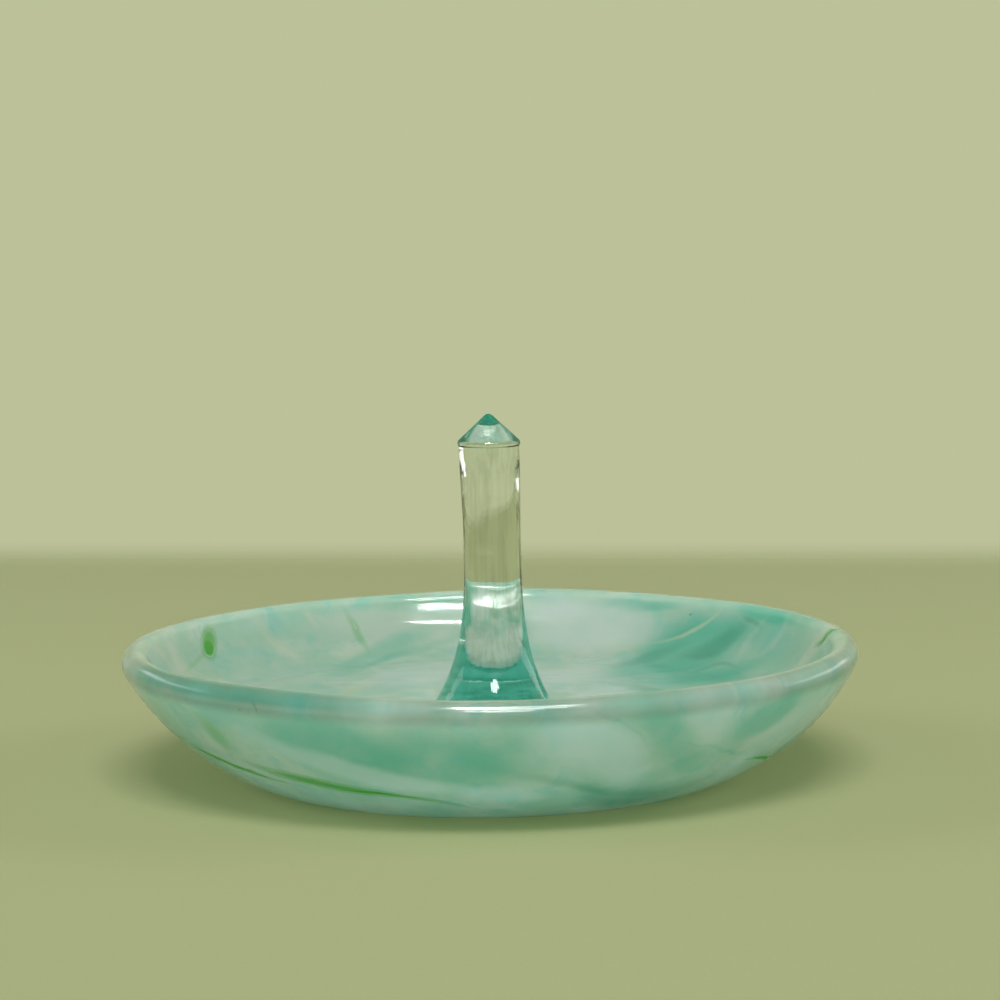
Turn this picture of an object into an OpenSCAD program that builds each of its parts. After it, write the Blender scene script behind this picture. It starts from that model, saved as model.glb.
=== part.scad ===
// Ring dish: a shallow round dish of marbled glass with a clear glass post standing at its centre.
// Rings drop over the post, and small things lie in the dish around it.
// Millimetres, +Z up. The origin is the centre of the flat face that the dish stands on.

/* [Dish] */
// Outside diameter of the dish across its rim
rim_d = 150; // [140:1:175]
// Height of the rim above the table
rim_h = 27.3; // [24:0.1:31]
// Thickness of the glass wall, which also rounds the rim
glass_t = 5.6; // [4:0.1:7]
// Thickness of the glass floor under the post
floor_t = 14.8; // [12:0.1:16.5]
// Diameter of the flat face that the dish stands on
foot_d = 94; // [84:1:104]
// Outside radius of the curve that rises from the foot to the rim
wall_curve = 51.5; // [46:0.5:60]
// Radius outside, where the flat foot turns into the wall
foot_round = 6; // [2:0.5:12]
// Radius inside, where the floor turns into the wall
floor_round = 17; // [8:1:18]

/* [Post] */
// Height of the post from its foot to its tip
post_h = 58.6; // [48:0.1:73]
// Diameter of the post at its waist, the thinnest place
waist_d = 11.6; // [9:0.1:14]
// Height of the waist above the post's foot
waist_up = 25; // [20:0.1:31]
// Diameter of the spread foot that stands on the dish's floor
post_foot_d = 22.6; // [18:0.2:28]
// Radius of the rounded edge of that foot
post_foot_round = 0.6; // [0.3:0.1:1]
// How much thicker the post is just under its head than at its waist
neck_more = 0.8; // [0.4:0.1:2]
// How much thicker the head is than the neck, which keeps rings from slipping off
head_more = 0.4; // [0:0.1:1]
// Angle of the pointed head to the level
head_angle = 43; // [30:1:55]
// Radius of the head's rounded edge
head_round = 0.9; // [0.6:0.1:1.5]
// Radius of the rounded tip
tip_round = 1.2; // [0.6:0.1:2]

/* [Bond] */
// Thickness of the clear film that holds the post on the floor
bond_t = 0.2; // [0.1:0.05:0.5]
// How far the film stays back from the edge of the post's foot
bond_inset = 0.8; // [0.5:0.1:2]

/* [Hidden] */
$fn = 160;

// Curves that follow on each other cross by this much instead of only touching.
join = 0.01;

// Dish section, as [distance from the axis, height]: the centres of the arcs of rim, foot and wall.
lip_r = glass_t / 2 + join;
lip_c = [rim_d / 2 - lip_r, rim_h - lip_r];
foot_c = [foot_d / 2, foot_round - join];
wall_in = wall_curve - glass_t;
wall_c = meet(lip_c, wall_curve - glass_t / 2, foot_c, wall_curve - foot_round + join);

// Inside, one more arc leads from the flat floor into the wall.
floor_h = floor_t + floor_round - join;
floor_c = [wall_c.x + sqrt((wall_in - floor_round + join) ^ 2 - (wall_c.y - floor_h) ^ 2), floor_h];

// Post section: the long arc of its flare ends at the waist and runs smoothly into the foot's edge.
post_base = floor_t + bond_t;
waist_h = post_base + waist_up;
neck_d = waist_d + neck_more;
head_d = neck_d + head_more;
edge_r = post_foot_round - join;
foot_edge = [post_foot_d / 2 - post_foot_round, post_base + edge_r];
flare_w = foot_edge.x - waist_d / 2;
flare_r = (flare_w ^ 2 + (waist_h - foot_edge.y) ^ 2 - edge_r ^ 2) / (2 * (edge_r + flare_w));
flare_c = [waist_d / 2 + flare_r, waist_h];

// The shaft's straight upper side starts this far outside the waist.
taper_in = 0.05;

// Head: a cone whose straight side runs from its rounded edge up to the rounded tip.
slope = [sin(head_angle), cos(head_angle)];
tip_c = [0, post_base + post_h - tip_round];
head_run = head_d / 2 - head_round + (head_round - tip_round) * slope.x;
head_c = [
    head_d / 2 - head_round,
    tip_c.y - head_run * tan(head_angle) - (head_round - tip_round) * slope.y
];

// The point at distance ra from a and rb from b, on the left of the way from b to a.
function meet(a, ra, b, rb) =
    let (
        apart = norm(b - a),
        way = (b - a) / apart,
        along = (ra ^ 2 - rb ^ 2 + apart ^ 2) / (2 * apart)
    )
    a + along * way + sqrt(ra ^ 2 - along ^ 2) * [way.y, -way.x];

// The piece of a disc of radius r about the wall's centre between the rays through two points.
module wall_pie(r, from, to) {
    reach = 3 * r;
    intersection() {
        translate(wall_c) circle(r);
        polygon([
            wall_c,
            wall_c + reach * (from - wall_c) / norm(from - wall_c),
            wall_c + reach * (to - wall_c) / norm(to - wall_c)
        ]);
    }
}

module dish_outside() {
    square([foot_c.x, floor_t + 2]);
    translate(foot_c) circle(foot_round);
    wall_pie(wall_curve, foot_c, lip_c);
}

module dish_inside() {
    translate([0, floor_t]) square([floor_c.x, wall_c.y]);
    translate(floor_c) circle(floor_round);
    wall_pie(wall_in, floor_c, [rim_d, wall_c.y]);
}

module dish() {
    color([0.55, 0.78, 0.72, 0.9])
        rotate_extrude()
            intersection() {
                square([rim_d, rim_d]);
                union() {
                    difference() {
                        dish_outside();
                        dish_inside();
                    }
                    translate(lip_c) circle(lip_r);
                }
            }
}

module post() {
    color([0.86, 0.93, 0.88, 0.5])
        rotate_extrude()
            intersection() {
                translate([0, post_base]) square([post_foot_d, post_h]);
                union() {
                    difference() {
                        polygon([
                            [0, post_base],
                            [foot_edge.x, post_base],
                            foot_edge,
                            flare_c,
                            [waist_d / 2 + taper_in, waist_h],
                            [neck_d / 2, head_c.y],
                            head_c + (head_round - join) * slope,
                            tip_c + (tip_round - join) * slope,
                            tip_c
                        ]);
                        translate(flare_c) circle(flare_r);
                    }
                    translate(foot_edge) circle(post_foot_round);
                    translate(head_c) circle(head_round);
                    translate(tip_c) circle(tip_round);
                }
            }
}

module bond() {
    color([0.9, 0.92, 0.85, 0.4])
        translate([0, 0, floor_t]) cylinder(h = bond_t, r = post_foot_d / 2 - bond_inset);
}

dish();
post();
bond();
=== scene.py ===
"""Ring dish: a kiln-formed dish of marbled glass with a clear solid glass post at its centre."""
import math

import bpy
from mathutils import Matrix, Vector


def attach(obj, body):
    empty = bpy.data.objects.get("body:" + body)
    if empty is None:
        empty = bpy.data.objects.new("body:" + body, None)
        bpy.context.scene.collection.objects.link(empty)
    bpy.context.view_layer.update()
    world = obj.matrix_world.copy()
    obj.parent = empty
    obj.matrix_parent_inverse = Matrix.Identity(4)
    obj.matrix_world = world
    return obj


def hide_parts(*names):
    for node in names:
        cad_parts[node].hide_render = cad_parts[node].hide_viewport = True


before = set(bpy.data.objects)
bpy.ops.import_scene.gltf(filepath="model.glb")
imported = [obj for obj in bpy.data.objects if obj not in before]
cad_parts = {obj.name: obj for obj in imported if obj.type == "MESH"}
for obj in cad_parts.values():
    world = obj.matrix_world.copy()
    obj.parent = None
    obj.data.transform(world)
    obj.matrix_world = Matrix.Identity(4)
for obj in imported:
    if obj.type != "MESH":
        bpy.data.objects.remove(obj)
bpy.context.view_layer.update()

MM = 0.001


def srgb(r, g, b):
    """A colour written in 0 to 255, as the linear values that nodes use."""
    values = []
    for c in (r, g, b):
        c /= 255
        values.append(c / 12.92 if c <= 0.04045 else ((c + 0.055) / 1.055) ** 2.4)
    return (*values, 1.0)


# ---------------------------------------------------------------------------
# Camera
# ---------------------------------------------------------------------------

CAMERA_AT = Vector((0, -0.71621, 0.13838))
CAMERA_PITCH = math.radians(-6.567)
CAMERA_YAW = math.radians(0.199)
CAMERA_ROLL = math.radians(0.761)
CAMERA_LENS = 127.44
CAMERA_SENSOR = 36


def make_camera():
    ahead = Vector(
        (
            math.sin(CAMERA_YAW) * math.cos(CAMERA_PITCH),
            math.cos(CAMERA_YAW) * math.cos(CAMERA_PITCH),
            math.sin(CAMERA_PITCH),
        )
    )
    level = ahead.cross(Vector((0, 0, 1))).normalized()
    upright = level.cross(ahead)
    right = math.cos(CAMERA_ROLL) * level - math.sin(CAMERA_ROLL) * upright
    up = math.sin(CAMERA_ROLL) * level + math.cos(CAMERA_ROLL) * upright
    data = bpy.data.cameras.new("camera")
    data.lens = CAMERA_LENS
    data.sensor_width = CAMERA_SENSOR
    data.clip_start, data.clip_end = 0.01, 50
    camera = bpy.data.objects.new("camera", data)
    turn = Matrix((right, up, -ahead)).transposed()
    camera.matrix_world = Matrix.Translation(CAMERA_AT) @ turn.to_4x4()
    bpy.context.collection.objects.link(camera)
    bpy.context.scene.camera = camera


make_camera()

# ---------------------------------------------------------------------------
# Node helpers
# ---------------------------------------------------------------------------


class Net:
    """Short calls that add nodes to one node tree. A value is a number, a tuple or another node's output."""

    def __init__(self, tree):
        self.tree = tree

    def feed(self, socket, value):
        if isinstance(value, bpy.types.NodeSocket):
            self.tree.links.new(value, socket)
        else:
            socket.default_value = value

    def node(self, kind, values=(), **settings):
        n = self.tree.nodes.new(kind)
        for name, setting in settings.items():
            setattr(n, name, setting)
        for key, value in dict(values).items():
            self.feed(n.inputs[key], value)
        return n

    def math(self, operation, a, b=0.0, clamp=False):
        n = self.node("ShaderNodeMath", {0: a, 1: b}, operation=operation)
        n.use_clamp = clamp
        return n.outputs[0]

    def add(self, first, *more):
        for other in more:
            first = self.math("ADD", first, other)
        return first

    def mul(self, a, b, clamp=False):
        return self.math("MULTIPLY", a, b, clamp)

    def vec(self, operation, a, b=(0, 0, 0)):
        n = self.node("ShaderNodeVectorMath", {0: a, 1: b}, operation=operation)
        return n.outputs["Value" if operation in ("LENGTH", "DOT_PRODUCT") else "Vector"]

    def scale(self, a, factor):
        n = self.node("ShaderNodeVectorMath", {0: a, "Scale": factor}, operation="SCALE")
        return n.outputs["Vector"]

    def xyz(self, vector):
        return self.node("ShaderNodeSeparateXYZ", {0: vector}).outputs

    def join(self, x, y, z=0.0):
        return self.node("ShaderNodeCombineXYZ", {0: x, 1: y, 2: z}).outputs[0]

    def ramp(self, value, low, high, out_low=0.0, out_high=1.0):
        n = self.node(
            "ShaderNodeMapRange",
            {"Value": value, "From Min": low, "From Max": high, "To Min": out_low, "To Max": out_high},
            interpolation_type="SMOOTHSTEP",
        )
        return n.outputs["Result"]

    def mix(self, factor, a, b):
        n = self.node("ShaderNodeMix", data_type="RGBA")
        self.feed(n.inputs[0], factor)
        self.feed(n.inputs[6], a)
        self.feed(n.inputs[7], b)
        return n.outputs[2]

    def tint(self, color, gain):
        return self.vec("MULTIPLY", color, gain)

    def noise(self, vector, scale, detail=2.0, rough=0.5, distortion=0.0, color=False):
        n = self.node(
            "ShaderNodeTexNoise",
            {"Vector": vector, "Scale": scale, "Detail": detail, "Roughness": rough, "Distortion": distortion},
        )
        return n.outputs["Color" if color else "Fac"]

    def shift(self, vector, scale, amount, detail=2.0):
        """Moves a position by up to about amount, smoothly from place to place."""
        wander = self.vec("SUBTRACT", self.noise(vector, scale, detail, color=True), (0.5, 0.5, 0.5))
        return self.vec("ADD", vector, self.scale(wander, amount))


def material(name):
    made = bpy.data.materials.new(name)
    made.use_nodes = True
    made.node_tree.nodes.clear()
    return made, Net(made.node_tree)


def stroke_group():
    """A soft mark: an ellipse with a centre, a turn, half sizes and a bend, on a position in mm.

    x and y hold the position and z the marks so far, so that each mark is worked out after the last.
    """
    tree = bpy.data.node_groups.new("stroke", "ShaderNodeTree")
    sockets = tree.interface
    for name, kind in (
        ("Sheet", "NodeSocketVector"),
        ("Centre", "NodeSocketVector"),
        ("Turn", "NodeSocketFloat"),
        ("Half", "NodeSocketVector"),
        ("Bend", "NodeSocketFloat"),
        ("Soft", "NodeSocketFloat"),
        ("Strength", "NodeSocketFloat"),
    ):
        sockets.new_socket(name, in_out="INPUT", socket_type=kind)
    sockets.new_socket("Sheet", in_out="OUTPUT", socket_type="NodeSocketVector")
    net = Net(tree)
    given = net.node("NodeGroupInput").outputs
    out = net.node("NodeGroupOutput")
    offset = net.vec("SUBTRACT", given["Sheet"], given["Centre"])
    turned = net.node(
        "ShaderNodeVectorRotate",
        {"Vector": offset, "Angle": net.mul(given["Turn"], -1.0)},
        rotation_type="Z_AXIS",
    ).outputs[0]
    x, y, _ = net.xyz(turned)
    bent = net.math("SUBTRACT", y, net.mul(net.mul(x, x), given["Bend"]))
    reach = net.vec("LENGTH", net.vec("DIVIDE", net.join(x, bent), given["Half"]))
    inner = net.math("SUBTRACT", 1.0, given["Soft"])
    outer = net.math("ADD", 1.0, given["Soft"])
    mask = net.mul(net.ramp(reach, outer, inner), given["Strength"])
    net.feed(out.inputs["Sheet"], net.vec("ADD", given["Sheet"], net.join(0.0, 0.0, mask)))
    return tree


STROKE = stroke_group()


def strokes(net, sheet, marks):
    """The sum of several marks (u, v, half length, half width, turn in degrees, bend, softness, strength)."""
    place = net.xyz(sheet)
    sheet = net.join(place[0], place[1])
    for u, v, length, width, turn, bend, soft, strength in marks:
        n = net.node("ShaderNodeGroup")
        n.node_tree = STROKE
        for key, value in (
            ("Sheet", sheet),
            ("Centre", (u, v, 0)),
            ("Turn", math.radians(turn)),
            ("Half", (length, width, 1)),
            ("Bend", bend),
            ("Soft", soft),
            ("Strength", strength),
        ):
            net.feed(n.inputs[key], value)
        sheet = n.outputs[0]
    return net.math("MINIMUM", net.xyz(sheet)[2], 1.0)


# ---------------------------------------------------------------------------
# Mesh helpers
# ---------------------------------------------------------------------------


def arc(centre, radius, start, end, count):
    """Points on an arc in a section, from angle start to angle end in degrees."""
    points = []
    for i in range(count + 1):
        a = math.radians(start + (end - start) * i / count)
        points.append((centre[0] + radius * math.cos(a), centre[1] + radius * math.sin(a)))
    return points


def revolved(name, section, around, shape=None):
    """A closed skin round the z axis. section goes from the axis outside and back to the axis, in mm; shape moves a point."""
    verts, faces = [], []
    rings = []
    for r, z in section:
        if r < 1e-6:
            p = shape(0.0, 0.0, z, 0.0) if shape else (0.0, 0.0, z)
            rings.append([len(verts)])
            verts.append(p)
            continue
        ring = []
        for i in range(around):
            a = 2 * math.pi * i / around
            x, y = r * math.cos(a), r * math.sin(a)
            ring.append(len(verts))
            verts.append(shape(x, y, z, a) if shape else (x, y, z))
        rings.append(ring)
    for a, b in zip(rings, rings[1:]):
        for i in range(around):
            j = (i + 1) % around
            if len(a) == 1:
                faces.append((a[0], b[j], b[i]))
            elif len(b) == 1:
                faces.append((a[i], a[j], b[0]))
            else:
                faces.append((a[i], a[j], b[j], b[i]))
    mesh = bpy.data.meshes.new(name)
    mesh.from_pydata([[c * MM for c in v] for v in verts], [], faces)
    mesh.validate()
    mesh.shade_smooth()
    piece = bpy.data.objects.new(name, mesh)
    bpy.context.collection.objects.link(piece)
    return piece


def smooth(value, low, high):
    """0 at low, 1 at high, and an even S curve between."""
    t = min(max((value - low) / (high - low), 0), 1)
    return t * t * (3 - 2 * t)


def bump_at(angle, centre, width):
    """1 at one direction round the axis, in degrees, falling to 0 over about width."""
    d = (math.degrees(angle) - centre + 180) % 360 - 180
    return math.exp(-((d / width) ** 2))


# ---------------------------------------------------------------------------
# Dish
# ---------------------------------------------------------------------------

EDGE_C, EDGE_R = (10.95, 15.1), 0.35
WALL_C = (29.60, 48.00)
WALL_OUT_R, WALL_IN_R = 51.5, 45.9
LIP_C, LIP_R = (72.19, 24.49), 2.81
FOOT_C, FOOT_R = (47.0, 5.99), 6.0
FLOOR_C, FLOOR_R, FLOOR_Z = (53.54, 31.79), 17.0, 14.8
BONDED_R, BONDED_BACK_R = 11.1, 14.0


def dish_section():
    out = [(0.0, 0.0)] + [(47.35 * t / 8, 0.0) for t in range(1, 8)]
    out += arc(FOOT_C, FOOT_R, -90, -65.5, 6)
    wall = arc(WALL_C, WALL_OUT_R, -67.1, -29.2, 60)
    out += wall[1:]
    out += arc(LIP_C, LIP_R, -32, 150.0, 26)[1:]
    wall = arc(WALL_C, WALL_IN_R, -29.2, -33.9, 16)
    out += wall[1:]
    floor = arc(FLOOR_C, FLOOR_R, -33.9, -91.5, 60)
    out += floor[1:]
    out += [(r, FLOOR_Z) for r in (50.0, 40.0, 30.0, 20.0, BONDED_BACK_R, BONDED_R, 8.0, 4.0, 0.0)]
    return out


def dish_shape(x, y, z, a):
    """The kiln-formed wall isn't quite even: the rim dips and rises, and the sides belly a little."""
    r = math.hypot(x, y)
    up = smooth(r, 52, 74)
    rise = 0.45 * bump_at(a, 80, 16) - 0.3 * bump_at(a, 113, 18)
    rise += 0.25 * bump_at(a, 229, 15) - 0.35 * bump_at(a, 270, 18)
    rise += 0.1 * math.sin(3 * a + 0.6) - 0.35 * bump_at(a, 143, 20)
    belly = math.sin(math.pi * min(max((z + 1) / 26, 0), 1)) ** 2 if r > 49 else 0
    out = belly * (-0.5 * bump_at(a, 188, 26) + 0.45 * bump_at(a, 352, 24) + 0.15 * math.sin(2 * a + 1))
    k = (r + out) / r if r > 0 else 1
    return (x * k, y * k, z + up * rise)


dish = revolved("dish_glass", dish_section(), 288, dish_shape)

# ---------------------------------------------------------------------------
# Post
# ---------------------------------------------------------------------------

POST_BASE = 15.0
POST_SINK = 0.25
POST_TOP = 73.6
WAIST_R, WAIST_Z = 5.83, 48.0
# From the waist down to the foot the radius grows by FLARE_MORE, slowly first.
FLARE_MORE, FLARE_Z, FLARE_POWER = 5.6, 15.3, 3.2
NECK_Z = (48.0, 67.1)
NECK_R = 6.2
HEAD_ANGLE = 43
HEAD_R, TIP_R = 0.9, 1.2
TIP_C = (0.0, POST_TOP - TIP_R)
HEAD_C_R = 6.4 - HEAD_R
SLOPE = (math.sin(math.radians(HEAD_ANGLE)), math.cos(math.radians(HEAD_ANGLE)))
HEAD_RUN = HEAD_C_R + (HEAD_R - TIP_R) * SLOPE[0]
HEAD_C = (
    HEAD_C_R,
    TIP_C[1] - HEAD_RUN * math.tan(math.radians(HEAD_ANGLE)) - (HEAD_R - TIP_R) * SLOPE[1],
)


def shaft_radius(z, power):
    flare = FLARE_MORE * (max(WAIST_Z - z, 0) / (WAIST_Z - FLARE_Z)) ** power
    return WAIST_R + flare + (NECK_R - WAIST_R) * smooth(z, *NECK_Z)


def post_section():
    base = POST_BASE - POST_SINK
    out = [(0.0, base)] + [(EDGE_C[0] * t / 8, base) for t in range(1, 9)]
    edge = arc(EDGE_C, EDGE_R, -70, 29, 12)
    out += [(r, max(z, base + 0.02)) for r, z in edge]
    start, steps = out[-1][1], 150
    heights = [start + (NECK_Z[1] - start) * (t / steps) ** 1.3 for t in range(1, steps + 1)]
    out += [(shaft_radius(z, FLARE_POWER), z) for z in heights]
    out += arc(HEAD_C, HEAD_R, -32, 90 - HEAD_ANGLE, 14)[1:]
    tip = arc(TIP_C, TIP_R, 90 - HEAD_ANGLE, 90, 10)
    start = out[-1]
    steps = 24
    out += [
        (start[0] + (tip[0][0] - start[0]) * t / steps, start[1] + (tip[0][1] - start[1]) * t / steps)
        for t in range(1, steps)
    ]
    out += tip[:-1] + [(0.0, POST_TOP)]
    return out


FOOT_OFF = 0.6
# The drawn rod is a little flatter on its front, and its flare starts lower there and at the back than at the sides.
DEEP_POWER = 3.8


def post_shape(x, y, z, a):
    """The post stands a little to the right, bows a little, and isn't quite round."""
    t = min(max((z - POST_BASE) / 52, 0), 1)
    bow = FOOT_OFF + 0.28 * math.sin(math.pi * t) - 0.25 * t * t
    r = math.hypot(x, y)
    ripple = 0.006 * math.sin(2 * a + 0.05 * z) + 0.003 * math.sin(5 * a + 1 + 0.02 * z)
    fade = min(max((z - 17) / 8, 0), 1)
    k = 1 + ripple * fade if r > 0 else 1
    deep = shaft_radius(z, DEEP_POWER) / shaft_radius(z, FLARE_POWER)
    if y < 0:
        deep *= 1 - (0.05 * smooth(z, 34, 50) + 0.19 * smooth(z, 46, 60)) * smooth(z, 67.5, 60.5)
    elif z > NECK_Z[1]:
        # At the back the head doesn't stand out over the neck.
        deep *= NECK_R / (r if z < HEAD_C[1] and r > NECK_R else HEAD_C_R + HEAD_R)
    return (x * k + bow, y * k * deep, z)


post = revolved("post_glass", post_section(), 200, post_shape)

# ---------------------------------------------------------------------------
# Bond film
# ---------------------------------------------------------------------------


def bond_section():
    low, high, reach = POST_BASE - 0.17, POST_BASE - 0.03, 10.4
    return (
        [(0.0, low)]
        + [(reach * t / 6, low) for t in range(1, 7)]
        + arc((reach, (low + high) / 2), (high - low) / 2, -90, 90, 6)[1:]
        + [(reach * (1 - t / 6), high) for t in range(1, 6)]
        + [(0.0, high)]
    )


bond = revolved("bond_film", bond_section(), 96)

# ---------------------------------------------------------------------------
# Marbled glass
# ---------------------------------------------------------------------------

BASE = srgb(146, 178, 158)
PALE = srgb(165, 184, 168)
MILK = srgb(179, 194, 186)
AQUA = srgb(114, 174, 164)
TEAL = srgb(84, 164, 142)
DEEP = srgb(50, 138, 114)
GREEN = srgb(62, 146, 48)
CREAM = srgb(190, 190, 160)

# Painted light: these two gains lighten the outer side of the wall, and its lower part more.
OUTER_PAINTED_LIGHT_GAIN = (1.17, 1.28, 1.45)
LOW_PAINTED_LIGHT_GAIN = (1.12, 1.22, 1.32)
# Painted shade: these two gains darken the rounded rim and the front left of its top to a deeper colour.
RIM_PAINTED_SHADE_GAIN = (0.6, 0.58, 0.53)
LIP_PAINTED_SHADE_GAIN = (0.5, 0.78, 0.72)

PALE_MARKS = [
    (-29.3, 69.7, 18.3, 4.2, 20, -0.0038, 0.5, 0.6),
    (18.1, 28.9, 7.8, 14.2, 40, 0.0322, 0.5, 0.5),
    (53.6, 58.7, 8.8, 2.0, -32, -0.0058, 0.6, 0.15),
    (-23.0, 71.0, 13.0, 4.6, 12, 0.0, 0.6, 0.65),
    (76.0, 21.4, 7.1, 3.6, -18, 0.0169, 0.7, 0.4),
    (-20.5, -82.3, 9.0, 1.9, -9, 0.0055, 0.4, 0.6),
]
AQUA_MARKS = [
    (-45.0, 38.4, 14.7, 11.6, -20, -0.061, 0.7, 0.2),
    (-58.0, 43.1, 9.5, 1.7, 39, -0.0253, 0.6, 0.3),
    (-55.6, 57.6, 10.8, 3.0, 42, -0.0028, 0.5, 0.15),
    (-78.3, 2.6, 6.4, 3.2, 47, 0.0231, 0.7, 0.35),
    (69.0, 34.5, 5.3, 2.3, -165, 0.0175, 0.6, 0.5),
    (-58.9, -57.9, 8.6, 3.7, -34, -0.0022, 0.7, 0.4),
]
TEAL_MARKS = [
    (-28.9, 52.9, 20.7, 3.8, 63, -0.0051, 0.45, 0.5),
    (-19.3, 61.1, 14.6, 1.4, 44, -0.0135, 0.8, 0.35),
    (45.0, 48.7, 19.8, 10.9, 12, -0.0253, 0.4, 0.9),
    (42.2, 30.4, 16.0, 11.9, 28, -0.0214, 0.5, 0.7),
    (62.5, 22.1, 12.6, 23.7, -57, 0.0068, 0.5, 0.5),
    (70.2, 42.8, 11.1, 2.3, -61, -0.0071, 0.5, 0.65),
    (37.7, 70.6, 9.9, 1.8, -29, 0.0008, 0.5, 0.6),
    (61.0, 58.0, 9.0, 3.2, -42, 0.0, 0.6, 0.35),
    (41.8, 65.1, 4.1, 1.4, -84, -0.071, 0.6, 0.35),
    (-32.7, -68.6, 15.6, 8.2, -9, 0.0075, 0.4, 0.62),
    (-9.5, -72.3, 12.3, 7.6, 7, 0.0039, 0.45, 0.45),
    (-67.7, -36.9, 9.0, 11.0, -24, 0.0349, 0.7, 0.35),
    (37.0, -66.4, 14.1, 3.9, 75, 0.0045, 0.5, 0.42),
    (58.0, -53.8, 9.7, 4.8, 28, 0.0047, 0.4, 0.65),
    (47.9, -51.5, 11.8, 0.5, 63, 0.0091, 0.9, 0.4),
    (3.2, -74.1, 9.2, 6.0, 9, 0.0254, 0.6, 0.35),
    (-26.0, 18.0, 20.0, 5.0, 58, 0.012, 0.5, 0.4),
    (22.0, -26.0, 19.0, 6.0, 150, 0.01, 0.5, 0.6),
    (-38.0, -12.0, 15.0, 4.5, 95, -0.012, 0.5, 0.45),
    (-4.0, -28.0, 17.0, 7.0, 8, 0.012, 0.5, 0.6),
]
DEEP_MARKS = [
    (53.8, 45.1, 8.7, 2.8, -5, 0.012, 0.6, 0.55),
    (35.0, 49.4, 8.8, 2.6, 35, -0.0364, 0.6, 0.4),
    (51.5, 36.5, 4.1, 1.5, -2, -0.2568, 0.7, 0.4),
    (50.1, 42.9, 5.3, 1.1, -25, 0.0307, 0.8, 0.25),
    (65.6, 44.7, 3.8, 0.8, -68, -0.0254, 0.6, 0.4),
    (50.0, 60.2, 0.4, 0.4, -34, 0.0139, 0.6, 0.5),
    (-49.7, -69.5, 1.3, 0.4, 24, 0.2041, 0.6, 0.35),
    (-52.6, -65.8, 0.4, 0.3, -26, -0.0003, 0.6, 0.4),
    (27.8, -76.0, 7.1, 0.5, 58, 0.0178, 0.9, 0.2),
    (27.1, -49.0, 12.8, 5.1, 39, -0.0159, 0.7, 0.62),
    (16.3, -61.8, 13.4, 1.3, 36, 0.0048, 0.9, 0.32),
    (-12.0, -20.0, 12.5, 5.0, -20, 0.0, 0.5, 0.5),
    (36.0, 10.0, 13.0, 2.5, 120, 0.014, 0.6, 0.4),
    (0.6, 17.0, 11.0, 4.5, 0, -0.02, 0.4, 0.95),
]
MILK_MARKS = [
    (-18.1, 36.0, 21.0, 8.0, 64, 0.0025, 0.4, 0.6),
    (68.2, 31.3, 7.7, 1.2, -171, -0.0482, 0.8, 0.18),
    (61.7, 39.8, 6.5, 0.9, -148, 0.044, 0.8, 0.18),
    (24.9, 67.8, 16.7, 8.3, -14, -0.0036, 0.4, 0.65),
    (17.0, 77.0, 9.0, 3.4, -10, 0.0, 0.6, 0.6),
    (-25.8, -63.1, 22.4, 3.0, -4, 0.0034, 0.5, 0.6),
    (-30.7, -44.7, 13.6, 5.0, -22, 0.0005, 0.5, 0.35),
    (22.8, -71.7, 14.4, 6.0, 56, 0.0215, 0.45, 0.7),
    (13.7, -69.9, 8.0, 3.2, 45, 0.0069, 0.6, 0.3),
    (46.5, -65.5, 9.5, 4.6, 87, 0.0012, 0.7, 0.4),
    (63.6, -38.6, 15.9, 6.3, 36, 0.0128, 0.5, 0.45),
    (48.6, -40.5, 4.8, 4.4, 24, 0.0449, 0.6, 0.4),
    (1.9, -61.7, 6.9, 3.3, 4, 0.0223, 0.5, 0.45),
    (27.0, 4.0, 15.0, 6.0, 75, 0.01, 0.5, 0.55),
    (-14.0, -41.0, 17.0, 6.5, -25, 0.008, 0.5, 0.55),
    (1.0, 30.0, 19.0, 14.0, 4, 0.0, 0.5, 0.75),
]
CREAM_MARKS = [
    (-31.6, 16.2, 2.3, 9.3, -14, -0.0785, 0.8, 0.4),
    (-52.8, 52.3, 7.7, 1.3, -21, 0.0019, 0.9, 0.3),
    (-45.8, 64.9, 2.0, 1.0, -26, 0.0267, 0.8, 0.3),
    (49.1, 54.9, 7.2, 0.6, -3, 0.0158, 0.9, 0.5),
    (9.0, 27.0, 5.0, 0.7, 120, 0.02, 0.6, 0.6),
    (2.0, 38.0, 6.0, 0.6, 160, 0.02, 0.6, 0.5),
]
GREEN_MARKS = [
    (-67.9, 35.6, 5.4, 2.3, -75, 0.006, 0.5, 0.8),
    (-67.2, 33.9, 2.2, 1.2, -69, 0.0001, 0.6, 0.5),
    (-68.9, 22.6, 8.1, 0.6, -99, 0.0035, 0.8, 0.2),
    (-32.5, 65.4, 6.1, 1.0, -57, -0.0109, 0.7, 0.38),
    (81.5, 7.6, 4.7, 1.6, -18, 0.069, 0.5, 0.8),
    (-56.7, -50.2, 4.3, 2.5, 28, 0.0246, 0.8, 0.4),
    (-52.9, -38.6, 12.5, 0.8, -37, 0.0038, 0.5, 0.9),
    (-32.3, -54.3, 13.5, 1.5, -19, 0.0055, 0.7, 0.85),
    (-15.8, -58.2, 9.5, 0.6, -3, 0.0198, 0.8, 0.6),
    (54.6, -32.0, 8.6, 0.5, 77, 0.0189, 0.5, 0.95),
    (0.5, 73.5, 5.0, 1.1, 92, 0.004, 0.6, 0.85),
    (-24.0, -20.0, 9.0, 0.7, 40, 0.02, 0.5, 0.7),
    (33.0, -14.0, 6.0, 1.0, 80, -0.02, 0.6, 0.6),
]


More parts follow.
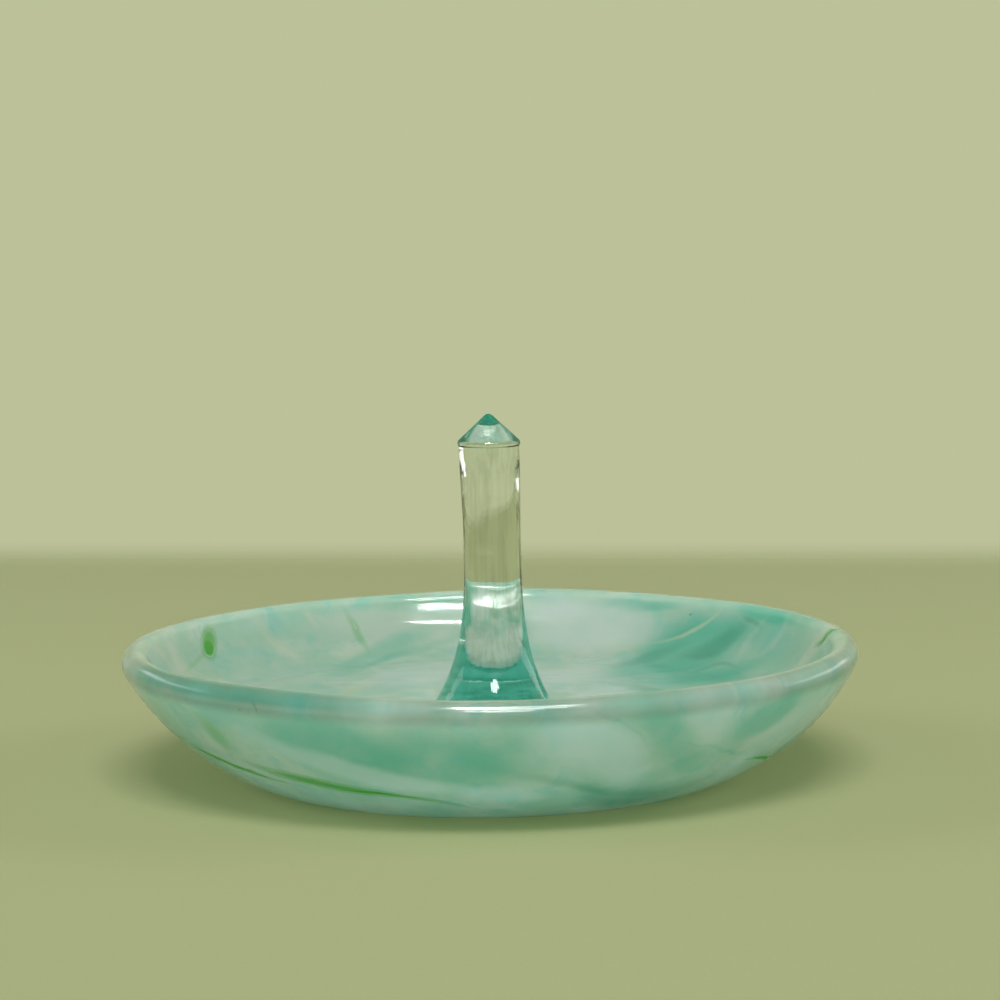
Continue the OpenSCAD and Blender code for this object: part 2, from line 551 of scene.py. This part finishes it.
def marbled_glass():
    made, net = material("marbled_glass")
    place = net.node("ShaderNodeTexCoord").outputs["Object"]
    mm = net.scale(place, 1000.0)
    x, y, z = net.xyz(mm)
    r = net.math("MAXIMUM", net.vec("LENGTH", net.join(x, y)), 0.01)
    # The wall was a flat sheet before it slumped: unrolled, its marks keep their width up to the rim.
    flat = net.add(r, net.mul(net.mul(z, z), 0.0175))
    k = net.math("DIVIDE", flat, r)
    sheet = net.join(net.mul(x, k), net.mul(y, k))
    flow = net.shift(sheet, 1 / 20, 4.0, 1.0)
    flow = net.shift(flow, 1 / 5, 1.8, 2.0)
    fine = net.shift(sheet, 1 / 9, 1.6, 2.0)
    fine = net.shift(fine, 1 / 1.6, 0.35, 1.0)

    clouds = net.noise(flow, 1 / 17, 3.0, 0.55)
    wisps = net.noise(net.vec("ADD", flow, (90, 40, 0)), 1 / 9, 4.0, 0.6, 0.8)
    color = net.mix(net.ramp(clouds, 0.42, 0.62), BASE, PALE)
    color = net.mix(net.mul(net.ramp(wisps, 0.5, 0.66), 0.45), color, AQUA)
    for marks, tone in (
        (PALE_MARKS, PALE),
        (AQUA_MARKS, AQUA),
        (TEAL_MARKS, TEAL),
        (DEEP_MARKS, DEEP),
        (MILK_MARKS, MILK),
        (CREAM_MARKS, CREAM),
    ):
        color = net.mix(strokes(net, flow, marks), color, tone)
    flecks = strokes(net, fine, GREEN_MARKS)
    color = net.mix(flecks, color, GREEN)

    # Painted light: the outer side of the wall is lightened and made bluer, standing in for light that comes through
    # the glass from inside, and lower down, towards the foot, it is lightened more.
    depth = net.vec("LENGTH", net.vec("SUBTRACT", net.join(r, z), (*WALL_C, 0)))
    outer = net.ramp(depth, WALL_IN_R + 1.0, WALL_OUT_R - 1.0)
    color = net.mix(outer, color, net.tint(color, OUTER_PAINTED_LIGHT_GAIN))
    color = net.mix(net.mul(outer, net.ramp(z, 14.0, 3.0)), color, net.tint(color, LOW_PAINTED_LIGHT_GAIN))
    # Painted shade: the outer half of the rounded rim is darkened, unevenly from place to place, and the inner top
    # of the rim is darkened to a deeper teal, most of all at the front left.
    uneven = net.ramp(net.noise(flow, 1 / 20, 2.0), 0.25, 0.6, 0.7, 1.0)
    rim_painted_shade = net.mul(net.mul(net.ramp(r, 71.5, 73.5), net.ramp(z, 21.6, 24.2)), uneven)
    color = net.mix(rim_painted_shade, color, net.tint(color, RIM_PAINTED_SHADE_GAIN))
    front_left = net.mul(net.ramp(x, -12.0, -40.0), net.ramp(y, -10.0, -35.0))
    lip_painted_shade = net.mul(net.mul(net.ramp(r, 69.0, 71.0), net.ramp(z, 24.2, 25.6)), front_left)
    color = net.mix(lip_painted_shade, color, net.tint(color, LIP_PAINTED_SHADE_GAIN))

    waves = net.noise(mm, 1 / 14, 2.0, 0.5)
    grain = net.noise(mm, 1 / 2.5, 2.0, 0.5)
    height = net.add(waves, net.mul(grain, 0.03))
    bump = net.node("ShaderNodeBump", {"Height": height, "Strength": 0.25, "Distance": 0.001}).outputs[0]
    # The flecks lie on the skin of the sheet and are duller than it.
    rough = net.add(net.ramp(net.noise(mm, 1 / 6, 3.0), 0.3, 0.7, 0.08, 0.13), net.mul(flecks, 0.4))
    glass = net.node(
        "ShaderNodeBsdfPrincipled",
        {
            "Base Color": color,
            "Roughness": rough,
            "IOR": 1.5,
            "Normal": bump,
            "Subsurface Weight": 1.0,
            "Subsurface Radius": (1.0, 1.0, 1.0),
            "Subsurface Scale": 0.009,
        },
    )
    # Part of the light goes on through the wall, tinted.
    rays = net.node("ShaderNodeLightPath").outputs
    tinted = net.node("ShaderNodeBsdfTransparent", {"Color": (0.48, 0.54, 0.47, 1)})
    both = net.node("ShaderNodeMixShader", {0: rays["Is Shadow Ray"], 1: glass.outputs[0], 2: tinted.outputs[0]})
    net.node("ShaderNodeOutputMaterial", {"Surface": both.outputs[0]})
    return made


def bonded_glass():
    """The round of teal glass that the post's foot covers. The bond wets it, so it has no gloss of its own."""
    made, net = material("marbled_glass_bonded")
    place = net.node("ShaderNodeTexCoord").outputs["Object"]
    mm = net.scale(place, 1000.0)
    flow = net.shift(mm, 1 / 8, 2.5, 2.0)
    clouds = net.noise(flow, 1 / 5, 3.0, 0.55)
    color = net.mix(net.ramp(clouds, 0.35, 0.62), srgb(40, 140, 120), srgb(66, 164, 144))
    bump = net.node("ShaderNodeBump", {"Height": clouds, "Strength": 0.1, "Distance": 0.0005}).outputs[0]
    rough = net.ramp(clouds, 0.3, 0.7, 0.3, 0.4)
    glass = net.node(
        "ShaderNodeBsdfPrincipled",
        {"Base Color": color, "Roughness": rough, "IOR": 1.5, "Normal": bump, "Specular IOR Level": 0.0},
    )
    net.node("ShaderNodeOutputMaterial", {"Surface": glass.outputs[0]})
    return made


def clear_glass():
    made, net = material("clear_glass")
    place = net.node("ShaderNodeTexCoord").outputs["Object"]
    mm = net.scale(place, 1000.0)
    x, y, z = net.xyz(mm)
    drawn = net.noise(net.join(x, y, net.mul(z, 0.03)), 1 / 0.9, 2.0, 0.6)
    wavy = net.noise(net.join(x, y, net.mul(z, 0.4)), 1 / 9, 1.0, 0.5)
    height = net.add(net.mul(drawn, 0.3), wavy)
    bump = net.node("ShaderNodeBump", {"Height": height, "Strength": 0.14, "Distance": 0.001}).outputs[0]
    # Fine lines run along the drawn rod. At its edges the light has come a long way through, and looks teal.
    edge = net.node("ShaderNodeLayerWeight", {"Blend": 0.5}).outputs["Facing"]
    body = net.mix(net.ramp(drawn, 0.35, 0.6), srgb(226, 232, 224), srgb(246, 252, 247))
    tint = net.mix(net.ramp(edge, 0.7, 1.0, 0.0, 0.7), body, srgb(120, 190, 170))
    rough = net.ramp(net.noise(mm, 1 / 3, 2.0), 0.3, 0.7, 0.0, 0.02)
    glass = net.node(
        "ShaderNodeBsdfPrincipled",
        {
            "Base Color": tint,
            "Roughness": rough,
            "IOR": 1.5,
            "Transmission Weight": 1.0,
            "Normal": bump,
        },
    )
    rays = net.node("ShaderNodeLightPath").outputs
    through = net.math("MAXIMUM", rays["Is Shadow Ray"], rays["Is Diffuse Ray"])
    clear = net.node("ShaderNodeBsdfTransparent", {"Color": srgb(236, 246, 240)})
    # Painted refraction: the rounded tip, and bands at the rod's edges just under the head, are a flat diffuse teal
    # standing in for the teal of the dish seen through the whole length of the rod.
    teal = net.mix(net.ramp(drawn, 0.3, 0.7), srgb(30, 112, 90), srgb(58, 146, 120))
    painted_teal_refraction = net.node("ShaderNodeBsdfDiffuse", {"Color": teal})
    crown = net.add(net.ramp(z, 71.7, 72.8, 0.0, 0.8), 0.0)
    bands = net.mul(net.ramp(edge, 0.42, 0.68, 0.0, 0.6), net.ramp(z, 67.0, 67.7))
    tip = net.math("MAXIMUM", crown, bands)
    capped = net.node("ShaderNodeMixShader", {0: tip, 1: glass.outputs[0], 2: painted_teal_refraction.outputs[0]})
    both = net.node("ShaderNodeMixShader", {0: through, 1: capped.outputs[0], 2: clear.outputs[0]})
    net.node("ShaderNodeOutputMaterial", {"Surface": both.outputs[0]})
    return made


def clear_film():
    made, net = material("clear_film")
    place = net.node("ShaderNodeTexCoord").outputs["Object"]
    mm = net.scale(place, 1000.0)
    cloudy = net.noise(mm, 1 / 4, 3.0)
    tint = net.mix(net.ramp(cloudy, 0.35, 0.65), srgb(190, 214, 200), srgb(214, 226, 210))
    rough = net.ramp(cloudy, 0.3, 0.7, 0.1, 0.25)
    bump = net.node("ShaderNodeBump", {"Height": cloudy, "Strength": 0.1, "Distance": 0.0002}).outputs[0]
    film = net.node(
        "ShaderNodeBsdfPrincipled",
        {"Base Color": tint, "Roughness": rough, "IOR": 1.45, "Alpha": 0.02, "Normal": bump},
    )
    net.node("ShaderNodeOutputMaterial", {"Surface": film.outputs[0]})
    return made


dish.data.materials.append(marbled_glass())
dish.data.materials.append(bonded_glass())
for face in dish.data.polygons:
    middle = face.center / MM
    reach = BONDED_R if middle.y < 9 else BONDED_BACK_R
    if middle.z > FLOOR_Z - 0.5 and math.hypot(middle.x, middle.y) < reach:
        face.material_index = 1
post.data.materials.append(clear_glass())
bond.data.materials.append(clear_film())
for piece, node, slot in (
    (dish, "dish", "marbled_glass"),
    (post, "post", "clear_glass"),
    (bond, "bond", "clear_film"),
):
    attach(piece, "root")
    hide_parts(node)

# ---------------------------------------------------------------------------
# Floor, backdrop and light
# ---------------------------------------------------------------------------

WALL = srgb(188, 193, 153)
# The paper floor ends along this line, and fades into the wall behind it.
FAR_POINT = (0.0, 0.343)
FAR_TURN = math.radians(-6.0)
FADE = 0.036


def make_floor():
    along = Vector((math.cos(FAR_TURN), math.sin(FAR_TURN), 0))
    back = Vector((-along.y, along.x, 0))
    edge = Vector((*FAR_POINT, 0)) + back * FADE
    corners = [edge - along * 3, edge + along * 3, edge + along * 3 - back * 5, edge - along * 3 - back * 5]
    mesh = bpy.data.meshes.new("floor")
    mesh.from_pydata([tuple(c) for c in corners], [], [(3, 2, 1, 0)])
    floor = bpy.data.objects.new("floor", mesh)
    bpy.context.collection.objects.link(floor)
    made, net = material("paper_floor")
    place = net.node("ShaderNodeTexCoord").outputs["Object"]
    fibre = net.noise(place, 900.0, 3.0)
    tone = net.mix(net.ramp(fibre, 0.3, 0.7, 0.35, 0.65), srgb(163, 169, 125), srgb(167, 173, 129))
    # Painted shade: the paper is darker towards the viewer.
    near_painted_shade = net.ramp(net.xyz(place)[1], -0.3, 0.2, 0.93, 1.01)
    paper = net.node("ShaderNodeBsdfDiffuse", {"Color": net.scale(tone, near_painted_shade)})
    beyond = net.vec("DOT_PRODUCT", net.vec("SUBTRACT", place, (*FAR_POINT, 0)), tuple(back))
    fade = net.ramp(beyond, -FADE, FADE)
    gone = net.node("ShaderNodeBsdfTransparent")
    both = net.node("ShaderNodeMixShader", {0: fade, 1: paper.outputs[0], 2: gone.outputs[0]})
    net.node("ShaderNodeOutputMaterial", {"Surface": both.outputs[0]})
    mesh.materials.append(made)


def make_world():
    world = bpy.data.worlds.new("studio")
    world.use_nodes = True
    world.node_tree.nodes.clear()
    net = Net(world.node_tree)
    rays = net.node("ShaderNodeLightPath").outputs
    room = net.node("ShaderNodeBackground", {"Color": srgb(225, 228, 215), "Strength": 0.31})
    # In the glass, only the backdrop behind the dish is bright; the rest of the studio is dim.
    toward = net.xyz(net.node("ShaderNodeTexCoord").outputs["Generated"])[1]
    studio = net.mix(net.ramp(toward, 0.05, 0.5), srgb(96, 106, 92), WALL)
    mirrored = net.node("ShaderNodeBackground", {"Color": studio, "Strength": 1.0})
    wall = net.node("ShaderNodeBackground", {"Color": WALL, "Strength": 1.0})
    glass = net.math("MAXIMUM", rays["Is Glossy Ray"], rays["Is Transmission Ray"])
    inner = net.node("ShaderNodeMixShader", {0: glass, 1: room.outputs[0], 2: mirrored.outputs[0]})
    both = net.node("ShaderNodeMixShader", {0: rays["Is Camera Ray"], 1: inner.outputs[0], 2: wall.outputs[0]})
    net.node("ShaderNodeOutputWorld", {"Surface": both.outputs[0]})
    bpy.context.scene.world = world


def softbox(name, at, size, watts, aim=(0, 0, 0.02), glossy=True, diffuse=True):
    data = bpy.data.lights.new(name, "AREA")
    data.shape = "RECTANGLE"
    data.size, data.size_y = size
    data.energy = watts
    lamp = bpy.data.objects.new(name, data)
    lamp.location = at
    lamp.visible_diffuse = diffuse
    lamp.visible_glossy = glossy
    lamp.visible_transmission = glossy
    lamp.rotation_mode = "QUATERNION"
    lamp.rotation_quaternion = (Vector(aim) - Vector(at)).to_track_quat("-Z", "Y")
    bpy.context.collection.objects.link(lamp)


def ring_place(azimuth, elevation, distance):
    """A place seen from the object: azimuth 0 is towards the camera, positive to its right."""
    a, e = math.radians(azimuth), math.radians(elevation)
    return (
        distance * math.cos(e) * math.sin(a),
        -distance * math.cos(e) * math.cos(a),
        distance * math.sin(e),
    )


make_floor()
make_world()
# The key lights the scene. Its mirror images come from a panel with a bright frame on three sides.
softbox("key", ring_place(4, 58.0, 2.2), (1.15, 0.45), 30.0, glossy=False)
for name, across, elevation, size, watts in (
    ("panel", 0.19, 64.5, (1.2, 0.56), 3.5),
    ("panel_low", 0.29, 57.0, (0.83, 0.13), 13.0),
    ("panel_high", 0.29, 73.0, (0.83, 0.13), 13.0),
    ("panel_end", -0.15, 64.0, (0.25, 0.6), 55.0),
):
    _, back, up = ring_place(0, elevation, 2.2)
    softbox(name, (across, back, up), size, watts, aim=(across, 0, 0.02), diffuse=False)
softbox("low", ring_place(2, 41.0, 2.2), (0.7, 0.36), 12.0, diffuse=False)
bpy.data.lights["low"].shape = "ELLIPSE"
softbox("overhead", (0, 0.1, 2.0), (1.8, 1.8), 2.0)
softbox("fill", ring_place(0, 4.5, 2.2), (1.8, 0.25), 20.0, glossy=False)
softbox("side_left", ring_place(-95, 26, 1.8), (0.9, 0.6), 8.6, glossy=False)
softbox("side_right", ring_place(95, 26, 1.8), (0.9, 0.6), 8.6, glossy=False)
# Low bright cards behind the post on both sides show as thin white lines in its edges.
for name, azimuth, elevation, high in (("edge_left", -112, 24.0, 0.036), ("edge_right", 112, 14.0, 0.04)):
    softbox(name, ring_place(azimuth, elevation, 0.3), (0.24, high), 1.1 * high, aim=(0, 0, 0.03), diffuse=False)
    bpy.data.lights[name].color = (0.93, 0.9, 1.0)

bpy.context.scene.view_settings.view_transform = "Standard"
